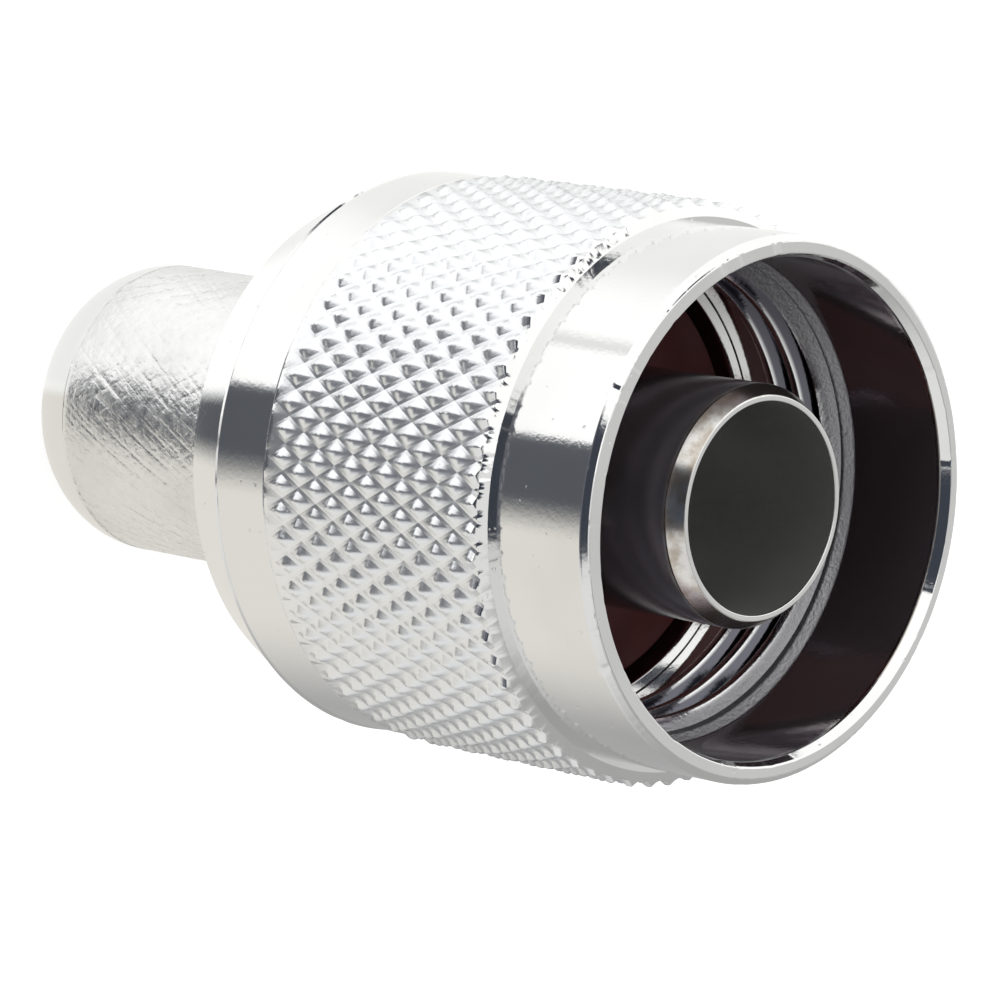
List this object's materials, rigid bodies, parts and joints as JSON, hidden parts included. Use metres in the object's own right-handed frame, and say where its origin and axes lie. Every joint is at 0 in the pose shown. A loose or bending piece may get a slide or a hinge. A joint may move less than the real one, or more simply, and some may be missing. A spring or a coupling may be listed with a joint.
{
  "type": "n type coaxial plug",
  "caption": "N series coaxial plug for crimping: a knurled coupling nut spins on a turned body whose sleeve contact stands inside the threaded mouth and whose knurled tail takes the cable.",
  "frame": {"origin": "middle of the crimp tail's end face, on which the plug stands", "axes": "+Z along the plug's axis, from the tail to the mouth of the coupling nut; X and Y are alike, and the retaining ring's split faces +X"},
  "size_m": [0.0194, 0.0194, 0.0312],
  "materials": {
    "nut_nickel": "bright nickel plate on brass",
    "body_nickel": "nickel plate on brass, worn on the tail's knurl",
    "contact_plating": "tarnished plating on brass",
    "ptfe": "matt white fluoropolymer",
    "silicone": "dark red silicone rubber",
    "ring_metal": "plain spring metal"
  },
  "bodies": {
    "plug": {"connector_body": "body_nickel", "outer_contact": "contact_plating", "insulator_bead": "ptfe", "gasket": "silicone", "retaining_ring": "ring_metal"},
    "nut": {"coupling_nut": "nut_nickel"}
  },
  "joints": [
    {"name": "nut_spin", "type": "hinge", "parent": "plug", "child": "nut", "pos_m": [0, 0, 0.0154], "axis": [0, 0, 1], "continuous": true}
  ]
}
